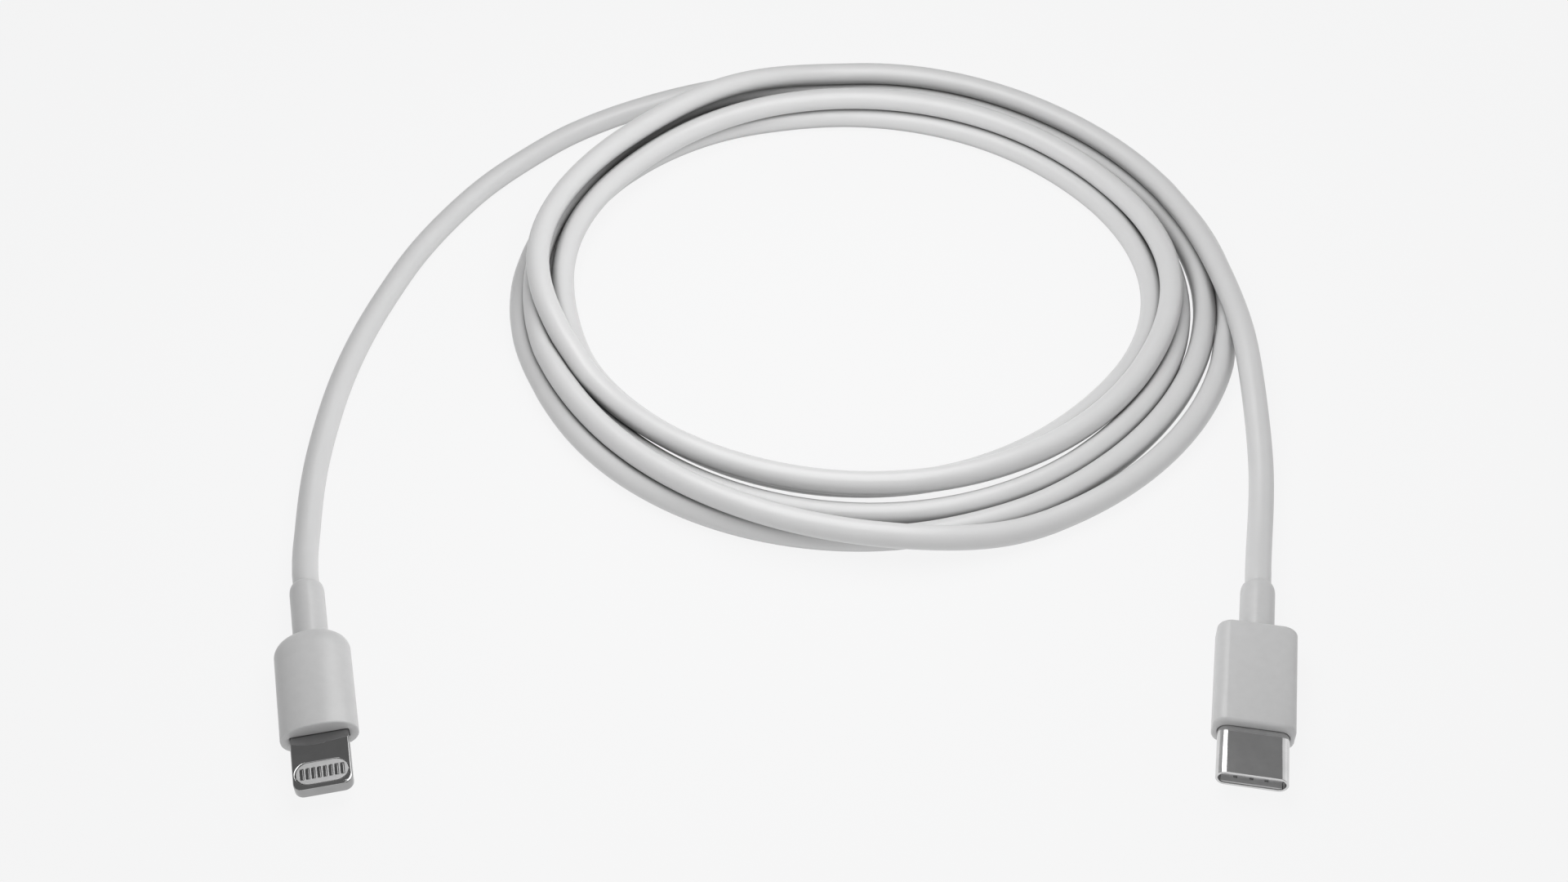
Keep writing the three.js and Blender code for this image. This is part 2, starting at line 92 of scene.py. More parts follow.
# Distance of each turn from the middle of the coil at eight places round it, from the right-hand
# side anticlockwise. The first turn lies on top, the second over the rest, and the fifth over the
# fourth at the left.
TURNS = [
    (48.3, 46.0, 47.2, 45.4, 47.1, 42.7, 40.3, 39.4),
    (41.4, 39.8, 40.6, 42.6, 44.3, 41.0, 38.6, 37.2),
    (39.0, 38.5, 40.2, 44.0, 46.9, 45.0, 43.7, 42.4),
    (42.4, 41.8, 43.6, 47.5, 48.5, 49.3, 47.9, 45.4),
    (46.2, 45.0, 46.6, 47.0, 47.4, 47.6, 49.3, 49.3),
    (49.3, 48.4, 50.0),
]
# The angle, distance and height at which the oval plug's lead comes onto the coil.
COIL_ENTRY = (-9.0, 49.8, 7.5)
# Height from which each turn is let down, and the stretch of the fifth that crosses the fourth.
DROP_HEIGHT = [9.0, 6.0, 1.6, 1.6, 1.6, 1.6]
CROSSING_TURN, CROSSING_PLACES, CROSSING_HEIGHT = 4, range(3, 7), 5.0
# Cord samples, counted from the oval plug: the end of its flat stretch, the coil's edge, and the
# place where it lies flat on the coil. The rise is the height gained between the first two.
FLOOR_END, COIL_EDGE, ON_COIL, RISE = 8, 33, 50, 3.15
# While the cord falls: rounds between two searches for places near each other, how near that is in
# diameters, the least samples between them along the cord, and the samples a bend spreads over.
SEARCH_EVERY, NEAR, LEAST_BETWEEN, BEND_REACH = 10, 1.5, 8, 5
# Two places touch if they are within this share of a sample along the cord. A push that several
# touches share is divided among them by this share of their number.
TOUCH_ALONG, PUSH_SHARE = 0.75, 0.6


# ---- Camera -------------------------------------------------------------------------------------

def make_camera(target, distance, elevation, lens):
    """Camera in front of the cable, looking down at the target."""
    data = bpy.data.cameras.new("camera")
    data.lens = lens
    data.sensor_width = 36.0
    data.clip_start = 0.01
    data.clip_end = 20.0
    camera = bpy.data.objects.new("camera", data)
    back = Vector((0, -math.cos(elevation), math.sin(elevation)))
    camera.location = Vector(target) + distance * back
    camera.rotation_euler = (-back).to_track_quat("-Z", "Y").to_euler()
    bpy.context.scene.collection.objects.link(camera)
    bpy.context.scene.camera = camera


make_camera(
    target=(-0.35 * MM, 43.1 * MM, 0), distance=288.0 * MM, elevation=math.radians(45.0), lens=50.0
)


# ---- Materials ----------------------------------------------------------------------------------

class Shader:
    """A Principled material and short calls for the nodes that feed it."""

    def __init__(self, name):
        self.material = bpy.data.materials.new(name)
        self.material.use_nodes = True
        self.tree = self.material.node_tree
        self.bsdf = self.tree.nodes["Principled BSDF"]
        self.place = self.tree.nodes.new("ShaderNodeTexCoord").outputs["Object"]

    def set(self, **values):
        for name, value in values.items():
            self.bsdf.inputs[name.replace("_", " ")].default_value = value
        return self

    def node(self, kind, **values):
        node = self.tree.nodes.new(kind)
        for name, value in values.items():
            node.inputs[name.replace("_", " ")].default_value = value
        return node

    def link(self, output, target):
        self.tree.links.new(output, target)

    def stretched(self, scale):
        mapping = self.node("ShaderNodeMapping", Scale=scale)
        self.link(self.place, mapping.inputs["Vector"])
        return mapping.outputs["Vector"]

    def noise(self, scale, detail=4.0, rough=0.55, vector=None):
        node = self.node("ShaderNodeTexNoise", Scale=scale, Detail=detail, Roughness=rough)
        self.link(vector or self.place, node.inputs["Vector"])
        return node.outputs["Fac"]

    def ramp(self, factor, stops):
        node = self.tree.nodes.new("ShaderNodeValToRGB")
        elements = node.color_ramp.elements
        while len(elements) < len(stops):
            elements.new(0.5)
        for element, (position, colour) in zip(elements, stops):
            element.position = position
            element.color = (*colour, 1.0)
        self.link(factor, node.inputs["Fac"])
        return node.outputs["Color"]

    def spread(self, factor, low, high):
        node = self.tree.nodes.new("ShaderNodeMapRange")
        node.inputs["To Min"].default_value = low
        node.inputs["To Max"].default_value = high
        self.link(factor, node.inputs["Value"])
        return node.outputs["Result"]

    def colour(self, factor, stops):
        self.link(self.ramp(factor, stops), self.bsdf.inputs["Base Color"])
        return self

    def roughness(self, factor, low, high):
        self.link(self.spread(factor, low, high), self.bsdf.inputs["Roughness"])
        return self

    def with_painted_hollow_shade(self, colour, reach, darkest):
        """The colour with painted shade: darker where the surface faces another one close by,
        through an ambient-occlusion term.
        """
        open_sky = self.node("ShaderNodeAmbientOcclusion", Distance=reach)
        share = self.node("ShaderNodeMapRange", From_Min=0.1, From_Max=0.6, To_Min=darkest)
        self.link(open_sky.outputs["AO"], share.inputs["Value"])
        product = self.tree.nodes.new("ShaderNodeVectorMath")
        product.operation = "MULTIPLY"
        self.link(colour, product.inputs[0])
        self.link(share.outputs["Result"], product.inputs[1])
        return product.outputs["Vector"]

    def bump(self, factor, strength, distance):
        node = self.node("ShaderNodeBump", Strength=strength, Distance=distance)
        self.link(factor, node.inputs["Height"])
        self.link(node.outputs["Normal"], self.bsdf.inputs["Normal"])
        return self


def grey(value):
    """A grey with a trace of blue."""
    return (value, value, value * 1.002)


def moulded(name, low, high, rough, grain):
    """White or grey moulded plastic: a faint mottle, a fine grain and a soft even gloss."""
    s = Shader(name).set(IOR=1.47)
    s.colour(s.noise(900.0, 3.0), [(0.3, grey(low)), (0.7, grey(high))])
    s.roughness(s.noise(3500.0, 2.0), rough - 0.03, rough + 0.05)
    s.bump(s.noise(9000.0, 3.0, 0.6), grain, 0.00002)
    return s.material


def make_jacket():
    """Soft cord jacket: slight mottle, a fine satin skin, and painted shade darkening the hollows
    where turns touch.
    """
    s = Shader("cord_jacket_soft").set(IOR=1.48)
    tone = s.ramp(s.noise(160.0, 5.0), [(0.3, grey(0.55)), (0.7, grey(0.565))])
    # Painted shade: the base colour is darkened by ambient occlusion in the hollows between the
    # turns.
    tone_and_painted_shade = s.with_painted_hollow_shade(tone, reach=0.004, darkest=0.4)
    s.link(tone_and_painted_shade, s.bsdf.inputs["Base Color"])
    s.roughness(s.noise(1800.0, 3.0), 0.29, 0.33)
    s.bump(s.noise(5200.0, 4.0, 0.65), 0.06, 0.00003)
    return s.material


def polished(name, low, high, rough, drawn):
    """Polished metal with fine drawn lines and slight smears in its shine."""
    s = Shader(name).set(Metallic=1.0)
    s.colour(s.noise(420.0, 4.0), [(0.3, grey(low)), (0.75, grey(high))])
    lines = s.noise(1.0, 3.0, 0.6, s.stretched(drawn))
    s.roughness(lines, rough, rough + 0.05)
    s.bump(lines, 0.05, 0.00001)
    return s.material


def make_board():
    """Green solder mask with a fine weave under it."""
    s = Shader("circuit_board_mask").set(IOR=1.5)
    s.colour(s.noise(1400.0, 6.0), [(0.42, (0.012, 0.09, 0.045)), (0.58, (0.03, 0.16, 0.085))])
    s.roughness(s.noise(2600.0), 0.3, 0.5)
    s.bump(s.noise(4200.0), 0.15, 0.00003)
    return s.material


MATERIALS = {
    "cord_jacket": make_jacket(),
    "white_plastic": moulded("white_plastic_satin", 0.505, 0.525, 0.3, 0.06),
    "insert_plastic": moulded("insert_plastic_matt", 0.48, 0.51, 0.45, 0.1),
    "grey_plastic": moulded("grey_plastic_matt", 0.52, 0.56, 0.45, 0.12),
    "chip_black": moulded("chip_black_matt", 0.018, 0.032, 0.55, 0.25),
    "bright_steel": polished("bright_steel_drawn", 0.6, 0.68, 0.1, (6000, 300, 6000)),
    # Painted reflection: the dark steel and the contact plating have base colours set lower than
    # their metals have, standing in for the dark surroundings that the blade and its contacts
    # reflect.
    "dark_steel": polished("steel_drawn_painted_dark_reflection", 0.33, 0.37, 0.04, (5000, 500, 5000)),
    "contact_plating": polished("contact_plating_painted_dark_reflection", 0.22, 0.27, 0.1, (4000, 1500, 4000)),
    "wire_copper": polished("wire_copper_drawn", 0.45, 0.6, 0.25, (7000, 400, 7000)),
    "circuit_board": make_board(),
}


def dress(piece, slot):
    """Gives a piece its material, under the name of the CAD's slot."""
    piece.data.materials.clear()
    piece.data.materials.append(MATERIALS[slot])


# ---- Mesh helpers -------------------------------------------------------------------------------

RING_POINTS, SLEEVE_RING_POINTS = 128, 96
# Powers for power_ring.
CIRCLE, NEARLY_SQUARE = 2, 14


def skin(name, rings, closed_ends=True, sharp=40.0):
    """A smooth skin through matching rings of points, in millimetres."""
    count = len(rings[0])
    mesh = bpy.data.meshes.new(name)
    faces = []
    for i in range(len(rings) - 1):
        for j in range(count):
            k = (j + 1) % count
            faces.append((i * count + j, i * count + k, (i + 1) * count + k, (i + 1) * count + j))
    if closed_ends:
        last = (len(rings) - 1) * count
        faces.append(tuple(range(count - 1, -1, -1)))
        faces.append(tuple(range(last, last + count)))
    points = [Vector(p) * MM for ring in rings for p in ring]
    mesh.from_pydata(points, [], faces)
    return finished(name, mesh, sharp)


def finished(name, mesh, sharp):
    """Welds a mesh, turns its faces outwards and smooths all but its sharp edges."""
    work = bmesh.new()
    work.from_mesh(mesh)
    bmesh.ops.remove_doubles(work, verts=work.verts, dist=1e-7)
    bmesh.ops.recalc_face_normals(work, faces=work.faces)
    work.to_mesh(mesh)
    work.free()
    mesh.shade_smooth()
    mesh.set_sharp_from_angle(angle=math.radians(sharp))
    piece = bpy.data.objects.new(name, mesh)
    bpy.context.scene.collection.objects.link(piece)
    return piece


def plug_matrix(plug):
    """Where a plug lies: flat on its cover, turned by its yaw."""
    place = Matrix.Translation(Vector((plug["at"][0], plug["at"][1], plug["height"] / 2)) * MM)
    return place @ Matrix.Rotation(math.radians(plug["yaw"]), 4, "Z")


def seat(piece, plug):
    """Moves a piece drawn in its plug's own frame to where the plug lies."""
    piece.data.transform(plug_matrix(plug))
    return piece


def stadium_ring(width, height, y, count=RING_POINTS):
    """Ring with flat top and bottom and half-round sides."""
    radius = height / 2
    straight = width / 2 - radius
    ring = []
    for i in range(count):
        t = (i + 0.5) / count * math.tau
        side = straight if math.cos(t) > 0 else -straight
        ring.append((side + radius * math.cos(t), y, radius * math.sin(t)))
    return ring


def rounded_ring(width, height, y, corner, count=RING_POINTS):
    """Rectangular ring with round corners."""
    ring = []
    for i in range(count):
        t = (i + 0.5) / count * math.tau
        c, s = math.cos(t), math.sin(t)
        x = math.copysign(width / 2 - corner, c) + corner * c
        z = math.copysign(height / 2 - corner, s) + corner * s
        ring.append((x, y, z))
    return ring


def power_ring(width, height, y, power, count=RING_POINTS):
    """Ring between an ellipse, at power 2, and a rectangle, at a high one."""
    ring = []
    for i in range(count):
        t = (i + 0.5) / count * math.tau
        c, s = math.cos(t), math.sin(t)
        x = width / 2 * math.copysign(abs(c) ** (2 / power), c)
        z = height / 2 * math.copysign(abs(s) ** (2 / power), s)
        ring.append((x, y, z))
    return ring


def quarter(steps):
    """Angles of a quarter turn."""
    return [math.pi / 2 * i / steps for i in range(steps + 1)]


# ---- Cord ---------------------------------------------------------------------------------------

def axis_point(plug, back):
    """Point on a plug's middle line, a distance back from its cover's front face."""
    yaw = math.radians(plug["yaw"])
    x = plug["at"][0] - math.sin(yaw) * back
    y = plug["at"][1] + math.cos(yaw) * back
    return (x, y, plug["height"] / 2)


def lead_points(plug, route):
    """From inside the sleeve's socket, straight out, then along the route."""
    end = plug["length"] + plug["sleeve"]
    straight = [axis_point(plug, end + out) for out in (-CORD_INSIDE, 0.0, CORD_STRAIGHT)]
    return straight + list(route)


def turn_points(step=7.5):
    """Points every few degrees round every turn, on a smooth curve through its eight places."""
    angles, radii, heights = [[value] for value in COIL_ENTRY]
    for turn, row in enumerate(TURNS):
        for place, radius in enumerate(row):
            angles.append(360.0 * turn + 45.0 * place)
            radii.append(radius)
            over = turn == CROSSING_TURN and place in CROSSING_PLACES
            heights.append(CROSSING_HEIGHT if over else DROP_HEIGHT[turn])
    fine = np.arange(angles[0], angles[-1] + 1.0, step)
    r = smooth_through(angles, radii, fine)
    z = np.interp(fine, angles, heights)
    a = np.radians(fine)
    x = COIL_CENTRE[0] + r * np.cos(a)
    y = COIL_CENTRE[1] + r * np.sin(a)
    return list(zip(x, y, z))


def smooth_through(xs, ys, at):
    """Cubic Hermite curve through points, with slopes from each point's neighbours."""
    xs, ys = np.array(xs), np.array(ys)
    slope = np.gradient(ys, xs)
    i = np.clip(np.searchsorted(xs, at, side="right") - 1, 0, len(xs) - 2)
    width = xs[i + 1] - xs[i]
    t = (at - xs[i]) / width
    start = (2 * t**3 - 3 * t**2 + 1) * ys[i] + (t**3 - 2 * t**2 + t) * width * slope[i]
    stop = (3 * t**2 - 2 * t**3) * ys[i + 1] + (t**3 - t**2) * width * slope[i + 1]
    return start + stop


def resampled(points, step):
    """Evenly spaced points on a smooth curve through the given ones."""
    points = np.array(points, float)
    chord = np.r_[0, np.cumsum(np.linalg.norm(np.diff(points, axis=0), axis=1))]
    fine = np.linspace(0, chord[-1], 12 * len(points))
    curve = np.stack([smooth_through(chord, points[:, k], fine) for k in range(3)], 1)
    run = np.r_[0, np.cumsum(np.linalg.norm(np.diff(curve, axis=0), axis=1))]
    even = np.linspace(0, run[-1], int(round(run[-1] / step)) + 1)
    return np.stack([np.interp(even, run, curve[:, k]) for k in range(3)], 1)


def averaged(values, reach):
    """Triangular average along the cord, so a push on one point lifts a long hump."""
    weights = np.r_[np.arange(1, reach + 2), np.arange(reach, 0, -1)].astype(float)
    weights /= weights.sum()
    columns = []
    for k in range(values.shape[1]):
        padded = np.pad(values[:, k], reach, mode="edge")
        columns.append(np.convolve(padded, weights, "valid"))
    return np.stack(columns, 1)


def settled(points, step, rounds=400, fall=0.03, stiffness=0.25, hold=0.15, fixed=4):
    """Lets the cord fall: it sinks to the floor, keeps its plan shape, and its turns push apart
    until they lie on and beside each other a diameter apart."""
    rest = points.copy()
    cord = points.copy()
    count = len(cord)
    free = np.ones(count, bool)
    free[:fixed] = False
    free[-fixed:] = False
    order = np.arange(count)
    for turn in range(rounds):
        if turn % SEARCH_EVERY == 0:
            apart = ((cord[:, None, :2] - cord[None, :, :2]) ** 2).sum(-1)
            near = apart < (CABLE_DIAMETER * NEAR) ** 2
            between = order[:, None] - order[None, :]
            first, second = np.where(near & (between > LEAST_BETWEEN))
        cord[free, 2] -= fall
        shift = cord - rest
        shift[:, 2] = cord[:, 2]
        shift += stiffness * (averaged(shift, BEND_REACH) - shift)
        shift[:, :2] *= 1 - hold
        moved = rest + shift
        moved[:, 2] = shift[:, 2]
        cord[free] = moved[free]
        along = np.gradient(cord, axis=0)
        along /= np.linalg.norm(along, axis=1)[:, None]
        for _ in range(3):
            cord = pushed_apart(cord, along, first, second, free, step)
            cord[:, 2] = np.maximum(cord[:, 2], CABLE_RADIUS)
    return cord


def pushed_apart(cord, along, first, second, free, step):
    """Moves each touching pair of places on the cord towards a diameter apart."""
    gap = cord[first] - cord[second]
    run = (gap * along[second]).sum(1)
    side = gap - run[:, None] * along[second]
    distance = np.sqrt((side**2).sum(1))
    touching = (np.abs(run) <= TOUCH_ALONG * step) & (distance < CABLE_DIAMETER)
    a, b = first[touching], second[touching]
    push = side[touching] / distance[touching][:, None]
    push *= (CABLE_DIAMETER - distance[touching])[:, None] / 2
    count = len(cord)
    touches = np.bincount(a, minlength=count) + np.bincount(b, minlength=count)
    move = [np.bincount(a, push[:, k], count) - np.bincount(b, push[:, k], count) for k in range(3)]
    move = np.stack(move, 1) / np.maximum(touches * PUSH_SHARE, 1)[:, None]
    result = cord.copy()
    result[free] += move[free]
    return result


def tube_rings(points, radius, sides=28):
    """Rings round a path, carried along it without twisting."""
    along = np.gradient(points, axis=0)
    along /= np.linalg.norm(along, axis=1)[:, None]
    up = np.cross(along[0], (0.0, 0.0, 1.0))
    up /= np.linalg.norm(up)
    rings = []
    for point, forward in zip(points, along):
        up = up - forward * np.dot(up, forward)
        up /= np.linalg.norm(up)
        other = np.cross(forward, up)
        ring = []
        for i in range(sides):
            t = i / sides * math.tau
            ring.append(tuple(point + radius * (math.cos(t) * up + math.sin(t) * other)))
        rings.append(ring)
    return rings


def eased_down(line):
    """The oval plug's lead is too stiff to drop off the coil: it comes down in one long slope."""
    place = np.arange(ON_COIL + 1)
    share = np.clip((place - FLOOR_END) / (COIL_EDGE - FLOOR_END), 0, 1)
    slope = CABLE_RADIUS + RISE * share**2 * (3 - 2 * share)
    line[:ON_COIL + 1, 2] = np.maximum(line[:ON_COIL + 1, 2], slope)
    reach = 4
    line[reach:ON_COIL] = averaged(line, reach)[reach:ON_COIL]
    return line


def make_cord():
    """One tube from plug to plug. Also gives its middle line, in metres."""
    step = CABLE_RADIUS
    route = lead_points(OVAL, OVAL_LEAD) + turn_points() + lead_points(BLADE, BLADE_LEAD)[::-1]
    line = eased_down(settled(resampled(route, step), step))
    line = resampled(line, step)
    cord = skin("cord_jacket_tube", tube_rings(line, CABLE_RADIUS))
    dress(cord, "cord_jacket")
    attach(cord, "cable")
    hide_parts("cord_lead_oval", "cord_coil", "cord_lead_blade")
    return cord, line * MM


cord, cord_line = make_cord()


# ---- Plugs --------------------------------------------------------------------------------------

def cover_rings(plug, ring_at, mouth_at, front, rear_side, rear_top):
    """Outer skin from the sleeve round to the front face, then in through the mouth."""
    width, height, length = plug["width"], plug["height"], plug["length"]
    hole = (REAR_HOLE, REAR_HOLE)
    rings = [power_ring(*hole, y, CIRCLE) for y in (length - REAR_DEPTH, length)]
    for t in reversed(quarter(12)):
        side = rear_side * (1 - math.cos(t))
        top = rear_top * (1 - math.cos(t))
        y = length - rear_side * (1 - math.sin(t))
        rings.append(ring_at(width - 2 * side, height - 2 * top, y))
    for share in (0.75, 0.5, 0.25):
        rings.append(ring_at(width, height, front + (length - rear_side - front) * share))
    for t in reversed(quarter(6)):
        pull = front * (1 - math.sin(t))
        rings.append(ring_at(width - 2 * pull, height - 2 * pull, front * (1 - math.cos(t))))
    rings.append(mouth_at(2 * MOUTH_LIP, 0.0))
    rings.append(mouth_at(0.0, MOUTH_LIP))
    rings.append(mouth_at(0.0, MOUTH_DEPTH))
    return rings


def make_cover(name, node, plug, ring_at, mouth_at, front, rear_side, rear_top):
    """Moulded cover. Its rings are rounded in by the given amounts at the front and the back."""
    rings = cover_rings(plug, ring_at, mouth_at, front, rear_side, rear_top)
    piece = seat(skin(name, rings, closed_ends=False, sharp=50.0), plug)
    dress(piece, "white_plastic")
    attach(piece, "cable")
    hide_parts(node)
    return piece


def make_oval_cover():
    """Flat-sided cover with round corners."""
    def mouth(extra, y):
        room = MOUTH_GAP + extra
        return stadium_ring(OVAL["shell_width"] + room, OVAL["shell_height"] + room, y)

    def body(width, height, y):
        return rounded_ring(width, height, y, OVAL["corner"])

    return make_cover(
        "oval_cover_moulded", "oval_cover", OVAL, body, mouth,
        front=0.45, rear_side=0.6, rear_top=0.4,
    )


def make_blade_cover():
    """Cover of nearly elliptical section, drawn in at the back."""
    def mouth(extra, y):
        room = MOUTH_GAP + extra
        width, height = BLADE["plate_width"] + room, BLADE["plate_thick"] + room
        return power_ring(width, height, y, NEARLY_SQUARE)

    def body(width, height, y):
        return power_ring(width, height, y, BLADE["section"])

    return make_cover(
        "blade_cover_moulded", "blade_cover", BLADE, body, mouth,
        front=0.2, rear_side=2.6, rear_top=1.0,
    )


def make_sleeve(name, node, plug):
    """Round strain relief with a rounded rim and a socket that the cord enters."""
    start = plug["length"] - SLEEVE["buried"]
    end = plug["length"] + plug["sleeve"]
    socket_end = end - SLEEVE["socket_depth"]
    radius, rim, shoulder = SLEEVE["radius"], SLEEVE["rim"], SLEEVE["shoulder"]
    profile = [(SLEEVE["neck"], start)]
    profile += [(radius, start + along) for along in (0.0, 2.5, 5.0)]
    for t in quarter(12):
        profile.append((radius - shoulder * (1 - math.cos(t)), end - rim * (1 - math.sin(t))))
    profile.append((SLEEVE["socket"], end - SLEEVE["socket_lip"]))
    profile.append((SLEEVE["socket"], socket_end))
    profile.append((SLEEVE["bore"], socket_end))
    rings = [power_ring(2 * r, 2 * r, y, CIRCLE, SLEEVE_RING_POINTS) for r, y in profile]
    piece = seat(skin(name, rings, closed_ends=False), plug)
    dress(piece, "white_plastic")
    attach(piece, "cable")
    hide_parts(node)
    return piece


def make_shell():
    """Drawn oval shell: outer wall, flat rim with rounded edges, inner wall."""
    width, height, wall = OVAL["shell_width"], OVAL["shell_height"], OVAL["shell_wall"]
    tip, root, edge = -OVAL["shell_out"], OVAL["shell_root"], OVAL["shell_edge"]
    rings = [stadium_ring(width, height, root), stadium_ring(width, height, -2.0)]
    outer_edge = [(edge * (1 - math.cos(t)), t) for t in quarter(5)]
    inner_edge = [(wall - inset, t) for inset, t in reversed(outer_edge)]
    for inset, t in outer_edge + inner_edge:
        y = tip + edge * (1 - math.sin(t))
        rings.append(stadium_ring(width - 2 * inset, height - 2 * inset, y))
    rings.append(stadium_ring(width - 2 * wall, height - 2 * wall, root))
    piece = seat(skin("oval_shell_drawn", rings, closed_ends=False, sharp=60.0), OVAL)
    dress(piece, "bright_steel")
    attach(piece, "cable")
    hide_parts("oval_shell")


def rounded_outline(points, radii, steps=10):
    """Outline of a polygon with each corner rounded by its own radius."""
    outline = []
    count = len(points)
    for i, radius in enumerate(radii):
        here = Vector(points[i])
        before = (Vector(points[i - 1]) - here).normalized()
        after = (Vector(points[(i + 1) % count]) - here).normalized()
        if radius == 0:
            outline.append(tuple(here))
            continue
        centre = here + (before + after) * radius
        start, stop = here + before * radius, here + after * radius
        for k in range(steps + 1):
            t = math.pi / 2 * k / steps
            swing = (start - centre) * math.cos(t) + (stop - centre) * math.sin(t)
            outline.append(tuple(centre + swing))
    return outline


def stadium_outline(width, length, centre_y, steps=16):
    """Outline with straight front and back and half-round ends."""
    radius = length / 2
    straight = width / 2 - radius
    outline = []
    for side, begin in ((1, -math.pi / 2), (-1, math.pi / 2)):
        for k in range(steps + 1):
            t = begin + math.pi * k / steps
            x = side * straight + radius * math.cos(t)
            outline.append((x, centre_y + radius * math.sin(t)))
    return outline


def plate(name, outlines, z_low, z_high, edge):
    """Flat plate from an outline and its holes, with its edges rounded over."""
    curve = bpy.data.curves.new(name, "CURVE")
    curve.dimensions = "2D"
    curve.fill_mode = "BOTH"
    curve.extrude = (z_high - z_low) / 2 - edge
    curve.bevel_depth = edge
    curve.bevel_resolution = 2
    curve.offset = -edge
    for outline in outlines:
        spline = curve.splines.new("POLY")
        spline.points.add(len(outline) - 1)
        spline.use_cyclic_u = True
        for point, (x, y) in zip(spline.points, outline):
            point.co = (x, y, 0, 1)
    holder = bpy.data.objects.new(name, curve)
    mesh = bpy.data.meshes.new_from_object(holder)
    bpy.data.objects.remove(holder)
    mesh.name = name
    mesh.transform(Matrix.Scale(MM, 4) @ Matrix.Translation((0, 0, (z_low + z_high) / 2)))
    return finished(name, mesh, sharp=30.0)


def make_blade_plate():
    """Metal blade with rounded front corners and a window for the inserts."""
    half, tip, root = BLADE["plate_width"] / 2, -BLADE["plate_out"], BLADE["plate_root"]
    corners = [(-half, root), (-half, tip), (half, tip), (half, root)]
    outline = rounded_outline(corners, (0, BLADE["tip_radius"], BLADE["tip_radius"], 0), 14)
    gap = BLADE["window_gap"]
    window_size = (BLADE["insert_width"] + gap, BLADE["insert_length"] + gap)
    window = stadium_outline(*window_size, BLADE["insert_y"])
    thick = BLADE["plate_thick"] / 2
    blade = plate("blade_plate_polished", [outline, window], -thick, thick, BLADE["plate_edge"])
    piece = seat(blade, BLADE)
    # The dark steel's low base colour is a painted dark reflection.
    dress(piece, "dark_steel")
    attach(piece, "cable")
    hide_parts("blade_plate")


def contact_places():
    """Place of each contact across the blade."""
    middle = (BLADE["contacts"] - 1) / 2
    return [(i - middle) * BLADE["pitch"] for i in range(BLADE["contacts"])]


def pad_outline(x, width, length, radius):
    """Outline of a contact, or of its slot in the insert."""
    y = BLADE["insert_y"]
    corners = [
        (x - width / 2, y + length / 2), (x - width / 2, y - length / 2),
        (x + width / 2, y - length / 2), (x + width / 2, y + length / 2),
    ]
    return rounded_outline(corners, (radius,) * 4, 4)


def make_insert(side, sign):
    """Moulded insert of one side of the blade, with a slot for each contact."""
    outlines = [stadium_outline(BLADE["insert_width"], BLADE["insert_length"], BLADE["insert_y"])]
    slot = (BLADE["slot_width"], BLADE["slot_length"], BLADE["slot_corner"])
    outlines += [pad_outline(x, *slot) for x in contact_places()]
    low, high = sorted((sign * BLADE["insert_low"], sign * BLADE["insert_face"]))
    insert = plate(f"blade_insert_{side}_moulded", outlines, low, high, BLADE["insert_edge"])
    piece = seat(insert, BLADE)
    dress(piece, "insert_plastic")
    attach(piece, "cable")
    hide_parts(f"blade_insert_{side}")


def make_contacts(side, sign):
    """The row of plated contacts of one side of the blade."""
    low, high = sorted((sign * BLADE["contact_low"], sign * BLADE["contact_top"]))
    pad = (BLADE["contact_width"], BLADE["contact_length"], BLADE["contact_corner"])
    for i, x in enumerate(contact_places(), start=1):
        name = f"blade_contact_{side}_{i:02d}"
        contact = plate(f"{name}_plated", [pad_outline(x, *pad)], low, high, BLADE["contact_edge"])
        piece = seat(contact, BLADE)
        dress(piece, "contact_plating")
        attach(piece, "cable")
        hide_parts(name)


make_oval_cover()
blade_cover = make_blade_cover()
make_sleeve("oval_sleeve_moulded", "oval_sleeve", OVAL)
blade_sleeve = make_sleeve("blade_sleeve_moulded", "blade_sleeve", BLADE)
make_shell()
make_blade_plate()
for side, sign in (("top", 1), ("bottom", -1)):
    make_insert(side, sign)
    make_contacts(side, sign)

# The pieces inside and the latch springs keep their CAD shapes.
slots = {part["node"]: part["material_slot"] for part in frame["record"]["subparts"]}
for name, node in frame["nodes"].items():
    node.data.materials.clear()
    node.data.materials.append(MATERIALS[slots[name]])


# ---- Floor, lights, view ------------------------------------------------------------------------

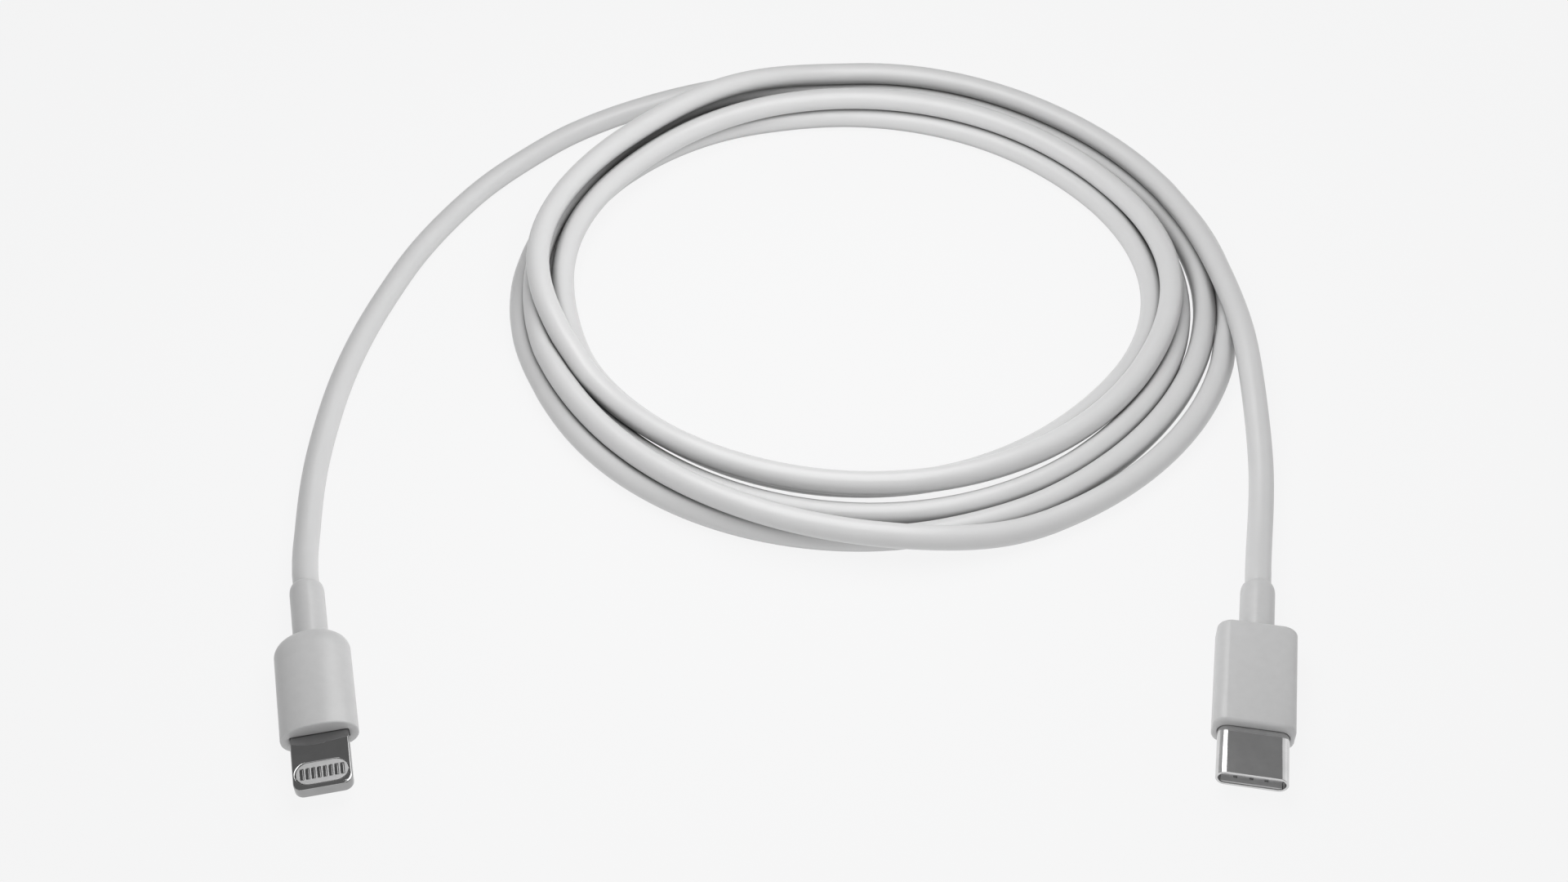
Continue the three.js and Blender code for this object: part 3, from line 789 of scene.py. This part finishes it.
def make_floor():
    """Pale floor that glows, as a studio table lit from below does, so its shadows stay faint."""
    mesh = bpy.data.meshes.new("floor")
    reach = 3.0
    corners = [(-reach, -reach, 0), (reach, -reach, 0), (reach, reach, 0), (-reach, reach, 0)]
    mesh.from_pydata(corners, [], [(0, 1, 2, 3)])
    floor = bpy.data.objects.new("floor", mesh)
    bpy.context.scene.collection.objects.link(floor)
    s = Shader("floor_pale").set(Specular_IOR_Level=0.05, Emission_Strength=1.0)
    s.colour(s.noise(3.0, 2.0), [(0.3, grey(0.04)), (0.7, grey(0.044))])
    s.roughness(s.noise(40.0), 0.85, 0.95)
    glow = s.ramp(s.noise(2.0, 2.0), [(0.3, grey(0.878)), (0.7, grey(0.882))])
    s.link(glow, s.bsdf.inputs["Emission Color"])
    mesh.materials.append(s.material)


def make_light(name, location, target, size, power):
    """Soft rectangular panel, with places and sizes in metres."""
    data = bpy.data.lights.new(name, "AREA")
    data.shape = "RECTANGLE"
    data.size, data.size_y = size
    data.energy = power
    light = bpy.data.objects.new(name, data)
    light.location = location
    aim = Vector(target) - Vector(location)
    light.rotation_euler = aim.to_track_quat("-Z", "Y").to_euler()
    light.visible_camera = False
    bpy.context.scene.collection.objects.link(light)


def make_world(wall, ceiling):
    """Bright walls all round that fade to a dimmer ceiling."""
    world = bpy.data.worlds.new("studio")
    bpy.context.scene.world = world
    world.use_nodes = True
    nodes, links = world.node_tree.nodes, world.node_tree.links
    place = nodes.new("ShaderNodeTexCoord")
    split = nodes.new("ShaderNodeSeparateXYZ")
    ramp = nodes.new("ShaderNodeValToRGB")
    ramp.color_ramp.interpolation = "EASE"
    low, high = ramp.color_ramp.elements
    low.position, high.position = 0.22, 0.6
    low.color, high.color = (*grey(wall), 1.0), (*grey(ceiling), 1.0)
    links.new(place.outputs["Generated"], split.inputs["Vector"])
    links.new(split.outputs["Z"], ramp.inputs["Fac"])
    links.new(ramp.outputs["Color"], nodes["Background"].inputs["Color"])


make_floor()
make_light(
    "key_above", location=(0.0, 0.055, 0.1), target=(0.0, 0.055, 0.0), size=(0.104, 0.13),
    power=0.135,
)
make_light(
    "fill_right", location=(0.28, 0.11, 0.11), target=(0.03, 0.0, 0.0), size=(0.3, 0.24),
    power=0.13,
)
make_light(
    "fill_front", location=(0.0, -0.45, 0.26), target=(0.0, 0.0, 0.0), size=(0.6, 0.4),
    power=0.6,
)
make_world(wall=0.48, ceiling=0.25)
bpy.context.scene.view_settings.view_transform = "Standard"
